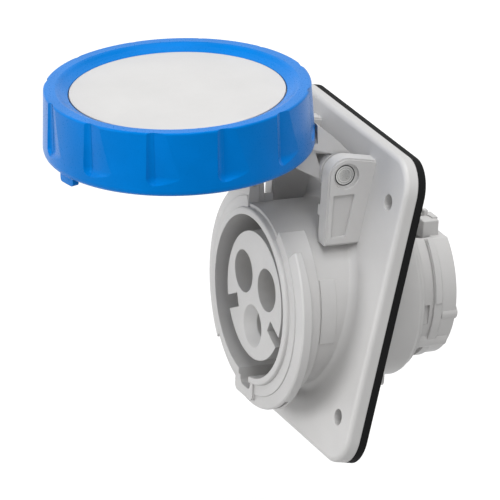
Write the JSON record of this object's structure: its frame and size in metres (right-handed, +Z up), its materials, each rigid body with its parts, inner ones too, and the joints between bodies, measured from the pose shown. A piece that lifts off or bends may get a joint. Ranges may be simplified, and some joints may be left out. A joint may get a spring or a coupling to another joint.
{
  "type": "industrial panel socket",
  "caption": "Sloped panel socket for a round three-pin power plug, on a flanged collar, with a hinged watertight lid and a turning bayonet ring.",
  "frame": {"origin": "middle of the four fixing holes, on the gasket's rear face where it meets the panel", "axes": "+X to the right seen from the front, -Y out of the panel, +Z up"},
  "size_m": [0.078, 0.1251, 0.1016],
  "materials": {
    "housing_plastic": "moulded light grey polyamide",
    "carrier_plastic": "moulded light grey polyamide",
    "lid_plastic": "moulded light grey polyamide",
    "ring_plastic": "moulded blue polyamide",
    "gasket_rubber": "black EPDM rubber",
    "contact_brass": "turned and nickel-plated brass",
    "spring_steel": "bare spring steel",
    "zinc_steel": "zinc-plated steel",
    "pin_steel": "drawn stainless steel"
  },
  "bodies": {
    "housing": {"front_housing": "housing_plastic", "flange_gasket": "gasket_rubber", "contact_carrier": "carrier_plastic", "carrier_seal": "gasket_rubber", "line_contact": "contact_brass", "neutral_contact": "contact_brass", "earth_contact": "contact_brass", "line_spring": "spring_steel", "neutral_spring": "spring_steel", "earth_spring": "spring_steel", "line_clamp": "zinc_steel", "neutral_clamp": "zinc_steel", "earth_clamp": "zinc_steel", "terminal_screws": "zinc_steel", "terminal_housing": "housing_plastic", "carrier_screws": "zinc_steel", "rear_cover": "housing_plastic", "hinge_pin": "pin_steel"},
    "lid": {"lid": "lid_plastic", "lid_seal": "gasket_rubber"},
    "ring": {"bayonet_ring": "ring_plastic"}
  },
  "joints": [
    {"name": "lid_hinge", "type": "hinge", "parent": "housing", "child": "lid", "pos_m": [0, -0.01399, 0.03353], "axis": [1, 0, 0], "range_deg": [-10, 85]},
    {"name": "ring_turn", "type": "hinge", "parent": "lid", "child": "ring", "pos_m": [0, -0.05944, 0.049], "axis": [0, 0.2588, -0.9659], "range_deg": [0, 45]}
  ]
}
